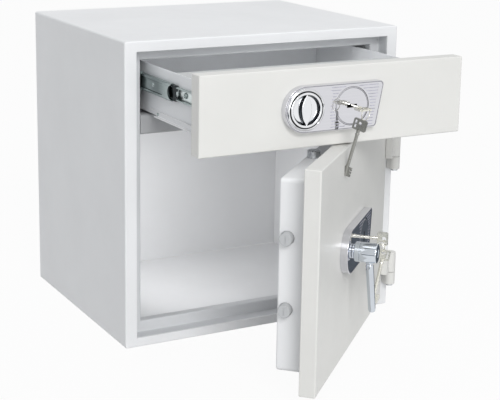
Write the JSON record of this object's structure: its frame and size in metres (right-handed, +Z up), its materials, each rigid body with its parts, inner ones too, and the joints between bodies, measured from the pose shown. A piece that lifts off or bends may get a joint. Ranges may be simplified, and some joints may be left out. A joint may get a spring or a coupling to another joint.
{
  "type": "drop safe with deposit drawer",
  "caption": "Small steel drop safe with a lockable deposit drawer above a hinged, bolted door; each has a lock plate with a key, and the drawer runs on telescopic slides.",
  "frame": {"origin": "centre of the underside of the body", "axes": "+Z up, -Y out of the front, +X towards the hinge side"},
  "size_m": [0.5125, 0.7418, 0.5],
  "materials": {
    "body_paint": "satin",
    "front_paint": "satin",
    "inner_paint": "satin",
    "zinc_plate": "satin",
    "chrome_plate": "polished",
    "lock_plate_satin": "brushed",
    "plain_steel": "machined",
    "black_plastic": "matt",
    "key_nickel": "polished"
  },
  "bodies": {
    "cabinet": {"body_shell": "body_paint", "back_panel": "body_paint", "door_frame": "inner_paint", "cross_member": "inner_paint", "divider_shelf": "inner_paint", "anti_fishing_baffle": "inner_paint", "slide_bracket_right": "inner_paint", "slide_bracket_left": "inner_paint", "slide_cabinet_right": "zinc_plate", "slide_cabinet_left": "zinc_plate", "hinge_fixed_lower": "front_paint", "hinge_fixed_upper": "front_paint", "hinge_pin_lower": "plain_steel", "hinge_pin_upper": "plain_steel"},
    "slide_middle_right": {"slide_middle_right": "zinc_plate"},
    "slide_middle_left": {"slide_middle_left": "zinc_plate"},
    "slide_cage_right": {"slide_cage_right": "black_plastic"},
    "slide_cage_left": {"slide_cage_left": "black_plastic"},
    "drawer": {"drawer_front": "front_paint", "drawer_box": "inner_paint", "drawer_lock_cover": "body_paint", "drawer_slide_right": "zinc_plate", "drawer_slide_left": "zinc_plate", "drawer_strip_right": "body_paint", "drawer_strip_left": "body_paint", "drawer_lock_plate": "lock_plate_satin", "drawer_keyhole_disc": "lock_plate_satin", "drawer_lock_case": "zinc_plate", "drawer_knob_collar": "chrome_plate"},
    "drawer_bolt_bar": {"drawer_bolt_bar": "plain_steel"},
    "drawer_lock_bolt": {"drawer_lock_bolt": "plain_steel"},
    "drawer_knob": {"drawer_knob": "chrome_plate", "drawer_spindle": "plain_steel", "drawer_cam": "zinc_plate"},
    "drawer_key": {"drawer_key": "key_nickel", "drawer_lock_rotor": "plain_steel"},
    "drawer_key_ring": {"drawer_key_ring": "key_nickel"},
    "door": {"door_slab": "front_paint", "door_inner_plate": "inner_paint", "door_pan": "body_paint", "hinge_leaf_lower": "front_paint", "hinge_leaf_upper": "front_paint", "door_lock_plate": "lock_plate_satin", "door_keyhole_disc": "lock_plate_satin", "door_lock_case": "zinc_plate"},
    "side_bolts": {"side_bolt_upper": "body_paint", "side_bolt_lower": "body_paint", "bolt_carrier": "zinc_plate"},
    "top_bolt": {"top_bolt": "plain_steel"},
    "bottom_bolt": {"bottom_bolt": "plain_steel"},
    "door_lock_bolt": {"door_lock_bolt": "plain_steel"},
    "door_handle": {"handle_hub": "chrome_plate", "handle_lever": "chrome_plate", "handle_spindle": "plain_steel", "handle_cam": "zinc_plate"},
    "door_key": {"door_key": "key_nickel", "door_lock_rotor": "plain_steel"},
    "door_key_ring": {"door_key_ring": "key_nickel"},
    "door_spare_key": {"door_spare_key": "key_nickel"}
  },
  "joints": [
    {"name": "drawer_slide", "type": "slide", "parent": "cabinet", "child": "drawer", "axis": [0, -1, 0], "range_m": [-0.2115, 0.1]},
    {"name": "middle_slide_right", "type": "slide", "parent": "cabinet", "child": "slide_middle_right", "axis": [0, -1, 0], "range_m": [-0.10575, 0.05]},
    {"name": "middle_slide_left", "type": "slide", "parent": "cabinet", "child": "slide_middle_left", "axis": [0, -1, 0], "range_m": [-0.10575, 0.05]},
    {"name": "cage_slide_right", "type": "slide", "parent": "cabinet", "child": "slide_cage_right", "axis": [0, -1, 0], "range_m": [-0.15862, 0.075]},
    {"name": "cage_slide_left", "type": "slide", "parent": "cabinet", "child": "slide_cage_left", "axis": [0, -1, 0], "range_m": [-0.15862, 0.075]},
    {"name": "drawer_knob_turn", "type": "hinge", "parent": "drawer", "child": "drawer_knob", "pos_m": [-0.061, -0.43, 0.4194], "axis": [0, 1, 0], "range_deg": [0, 90]},
    {"name": "drawer_bolts_rise", "type": "slide", "parent": "drawer", "child": "drawer_bolt_bar", "axis": [0, 0, 1], "range_m": [0, 0.022]},
    {"name": "drawer_key_turn", "type": "hinge", "parent": "drawer", "child": "drawer_key", "pos_m": [0.019, -0.4578, 0.4194], "axis": [0, -1, 0], "range_deg": [0, 90]},
    {"name": "drawer_lock_bolt_slide", "type": "slide", "parent": "drawer", "child": "drawer_lock_bolt", "axis": [-1, 0, 0], "range_m": [0, 0.008]},
    {"name": "drawer_ring_swing", "type": "hinge", "parent": "drawer_key", "child": "drawer_key_ring", "pos_m": [0.019, -0.4578, 0.4194], "axis": [0, 1, 0], "range_deg": [-45, 2]},
    {"name": "door_swing", "type": "hinge", "parent": "cabinet", "child": "door", "pos_m": [0.25, -0.213, 0.1], "axis": [0, 0, 1], "range_deg": [-44.2, 65.8]},
    {"name": "handle_turn", "type": "hinge", "parent": "door", "child": "door_handle", "pos_m": [0.04179, -0.45216, 0.1945], "axis": [-0.6972, 0.7169, 0], "range_deg": [0, 90]},
    {"name": "side_bolts_slide", "type": "slide", "parent": "door", "child": "side_bolts", "axis": [-0.7169, -0.6972, 0], "range_m": [0, 0.014]},
    {"name": "top_bolt_rise", "type": "slide", "parent": "door", "child": "top_bolt", "axis": [0, 0, 1], "range_m": [0, 0.014]},
    {"name": "bottom_bolt_drop", "type": "slide", "parent": "door", "child": "bottom_bolt", "axis": [0, 0, -1], "range_m": [0, 0.014]},
    {"name": "door_key_turn", "type": "hinge", "parent": "door", "child": "door_key", "pos_m": [0.10403, -0.4014, 0.1945], "axis": [0.6972, -0.7169, 0], "range_deg": [0, 90]},
    {"name": "door_lock_bolt_slide", "type": "slide", "parent": "door", "child": "door_lock_bolt", "axis": [-0.7169, -0.6972, 0], "range_m": [0, 0.008]},
    {"name": "door_ring_swing", "type": "hinge", "parent": "door_key", "child": "door_key_ring", "pos_m": [0.10403, -0.4014, 0.1945], "axis": [-0.6972, 0.7169, 0], "range_deg": [-12, 12]},
    {"name": "door_spare_swing", "type": "hinge", "parent": "door_key_ring", "child": "door_spare_key", "pos_m": [0.10403, -0.4014, 0.1712], "axis": [0.7169, 0.6972, 0], "range_deg": [-38, 12]}
  ],
  "couplings": [
    {"joint": "middle_slide_right", "follows": "drawer_slide", "ratio": 0.5},
    {"joint": "middle_slide_left", "follows": "drawer_slide", "ratio": 0.5},
    {"joint": "cage_slide_right", "follows": "drawer_slide", "ratio": 0.75},
    {"joint": "cage_slide_left", "follows": "drawer_slide", "ratio": 0.75},
    {"joint": "drawer_bolts_rise", "follows": "drawer_knob_turn", "m_per_rad": 0.014005},
    {"joint": "drawer_lock_bolt_slide", "follows": "drawer_key_turn", "m_per_rad": 0.005093},
    {"joint": "side_bolts_slide", "follows": "handle_turn", "m_per_rad": 0.008912},
    {"joint": "top_bolt_rise", "follows": "handle_turn", "m_per_rad": 0.008912},
    {"joint": "bottom_bolt_drop", "follows": "handle_turn", "m_per_rad": 0.008912},
    {"joint": "door_lock_bolt_slide", "follows": "door_key_turn", "m_per_rad": 0.005093}
  ]
}
